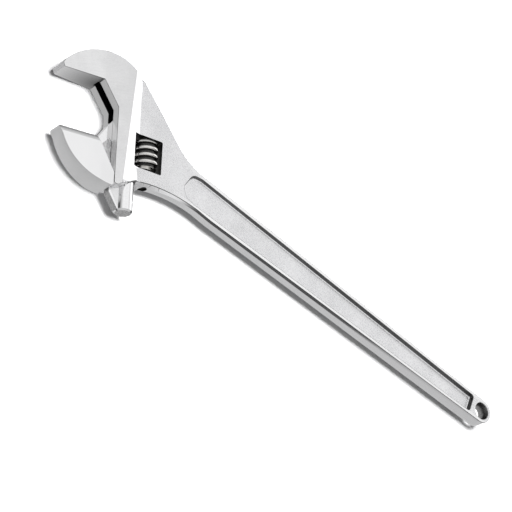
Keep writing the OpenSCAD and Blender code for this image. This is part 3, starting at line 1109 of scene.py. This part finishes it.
# %% Camera
view_azimuth, view_elevation, view_roll = 56.94, 47.26, 63.31
aim = on_handle(320.5, 15.5)
distance = 1.884
azimuth, elevation = math.radians(view_azimuth), math.radians(view_elevation)
towards = Vector((math.cos(elevation) * math.cos(azimuth), math.cos(elevation) * math.sin(azimuth),
                  math.sin(elevation)))
bpy.ops.object.select_all(action="DESELECT")
bpy.ops.object.camera_add(location=aim + towards * distance)
camera = bpy.context.object
camera.rotation_mode = "QUATERNION"
roll = Quaternion((0, 0, 1), math.radians(view_roll))
camera.rotation_quaternion = towards.to_track_quat("Z", "Y") @ roll
camera.data.lens = 130
camera.data.sensor_width = 36
camera.data.clip_end = 20
bpy.context.scene.camera = camera
print("camera at", [round(value, 3) for value in camera.location], "m")

# %% [markdown]
# ## Floor
# A sheet of white paper lies under the wrench and catches its soft shadow. Glossy rays do not see
# it, because the sky below already draws the table that the chrome reflects.

# %% Floor
floor_z = cad_box[0].z
bpy.ops.mesh.primitive_plane_add(size=8, location=(0.3, 0, floor_z))
floor = bpy.context.object
floor.name = "floor"
bpy.ops.object.transform_apply()
floor.visible_glossy = False
paper = bpy.data.materials.new("paper")
paper.use_nodes = True
paper_shader = paper.node_tree.nodes["Principled BSDF"]
paper_shader.inputs["Base Color"].default_value = (0.9, 0.9, 0.905, 1)
paper_shader.inputs["Roughness"].default_value = 0.9
paper_shader.inputs["Specular IOR Level"].default_value = 0.1
floor.data.materials.append(paper)

# %% [markdown]
# ## What the chrome reflects
# Chrome shows its surroundings, so the studio is drawn as a sky, which the metal reflects and which
# leaves the floor alone. Real light boxes could be modelled instead, but a curve of brightness
# against height is easier to adjust. One curve serves the near side and one the far side, each with
# a dark band that gives the walls their contrast. Soft round patches add a window, a pale corner and
# a dark door where single faces need them.

# %% Studio sky
scene = bpy.context.scene
scene.view_settings.view_transform = "Standard"
world = bpy.data.worlds.new("studio")
scene.world = world
world.use_nodes = True
sky = world.node_tree
background = sky.nodes["Background"]
direction = add_node(sky, "ShaderNodeTexCoord").outputs["Generated"]
parts = add_node(sky, "ShaderNodeSeparateXYZ")
sky.links.new(direction, parts.inputs["Vector"])


def sky_side(stops):
    """Brightness against height, from straight down at -1 to straight up at 1."""
    curve = add_node(sky, "ShaderNodeFloatCurve")
    points = curve.mapping.curves[0].points
    for i, (height, bright) in enumerate(stops):
        place = ((height + 1) / 2, bright / 2)
        if i < 2:
            points[i].location = place
        else:
            points.new(*place)
    for point in points:
        point.handle_type = "VECTOR"
    curve.mapping.update()
    half = add_node(sky, "ShaderNodeMapRange")
    half.inputs["From Min"].default_value = -1
    sky.links.new(parts.outputs["Z"], half.inputs["Value"])
    sky.links.new(half.outputs["Result"], curve.inputs["Value"])
    return curve.outputs["Value"]


# %% Near side and far side
near_side = sky_side([(-1, 0.66), (-0.68, 0.64), (-0.6, 0.08), (-0.44, 0.08), (-0.3, 0.5),
                      (0.35, 0.62), (0.6, 0.62), (1, 0.8)])
far_side = sky_side([(-1, 0.62), (-0.5, 0.6), (-0.33, 0.1), (0.05, 0.1), (0.25, 0.26), (0.5, 0.4),
                     (0.68, 0.86), (0.83, 1), (1, 0.9)])
side = add_node(sky, "ShaderNodeVectorMath", operation="DOT_PRODUCT")
side.inputs[1].default_value = (0.4, 0.92, 0)
sky.links.new(direction, side.inputs[0])
# The far side is alone below the first value and the near side above the second
blend_sides = add_node(sky, "ShaderNodeMapRange", interpolation_type="SMOOTHSTEP")
blend_sides.inputs["From Min"].default_value = 0.05
blend_sides.inputs["From Max"].default_value = 0.45
sky.links.new(side.outputs["Value"], blend_sides.inputs["Value"])
brightness = add_node(sky, "ShaderNodeMix", data_type="FLOAT")
sky.links.new(blend_sides.outputs["Result"], brightness.inputs["Factor"])
sky.links.new(far_side, brightness.inputs["A"])
sky.links.new(near_side, brightness.inputs["B"])


# %% Window, pale corner and dark door
def patch(centre, start, full, outside, inside):
    """A round soft patch of the sky, with one value outside it and one inside."""
    closeness = add_node(sky, "ShaderNodeVectorMath", operation="DOT_PRODUCT")
    closeness.inputs[1].default_value = Vector(centre).normalized()
    sky.links.new(direction, closeness.inputs[0])
    value = add_node(sky, "ShaderNodeMapRange", interpolation_type="SMOOTHSTEP")
    value.inputs["From Min"].default_value = start
    value.inputs["From Max"].default_value = full
    value.inputs["To Min"].default_value = outside
    value.inputs["To Max"].default_value = inside
    sky.links.new(closeness.outputs["Value"], value.inputs["Value"])
    return value.outputs["Result"]


window_light = patch((-0.72, -0.66, 0.18), 0.87, 0.97, 0, 1.1)
pale_corner = patch((-0.82, 0.55, -0.11), 0.83, 0.93, 0, 0.42)
dark_door = patch((0.98, -0.06, -0.1), 0.8, 0.93, 1, 0.12)
both_lights = add_node(sky, "ShaderNodeMath", operation="ADD")
total = add_node(sky, "ShaderNodeMath", operation="MULTIPLY_ADD")
total.inputs[1].default_value = 2
seen = add_node(sky, "ShaderNodeMath", operation="MULTIPLY")
sky.links.new(window_light, both_lights.inputs[0])
sky.links.new(pale_corner, both_lights.inputs[1])
sky.links.new(brightness.outputs["Result"], total.inputs[0])
sky.links.new(both_lights.outputs["Value"], total.inputs[2])
sky.links.new(total.outputs["Value"], seen.inputs[0])
sky.links.new(dark_door, seen.inputs[1])
sky.links.new(seen.outputs["Value"], background.inputs["Strength"])
background.inputs["Color"].default_value = (0.995, 0.995, 1, 1)
world.cycles_visibility.diffuse = False
print("nodes of the sky:", len(sky.nodes))

# %% [markdown]
# ## Lamps
# The floor does not see the sky, so two square lamps above the wrench light it. The small strong
# one draws the shadow and the wide weak one softens it. Chrome does not reflect them, so they can be
# moved without changing the metal.


# %% Lamps for the floor
def lamp(name, place, size, power):
    bpy.ops.object.light_add(type="AREA", location=aim + Vector(place))
    light = bpy.context.object
    light.name = name
    light.rotation_mode = "QUATERNION"
    light.rotation_quaternion = Vector(place).to_track_quat("Z", "Y")
    light.data.size = size
    light.data.energy = power
    light.visible_glossy = False
    print("lamp:", name)


lamp("key", (-0.08, -0.38, 2.3), 1.0, 105)
lamp("fill", (0.1, 0.1, 2.6), 3.0, 20)
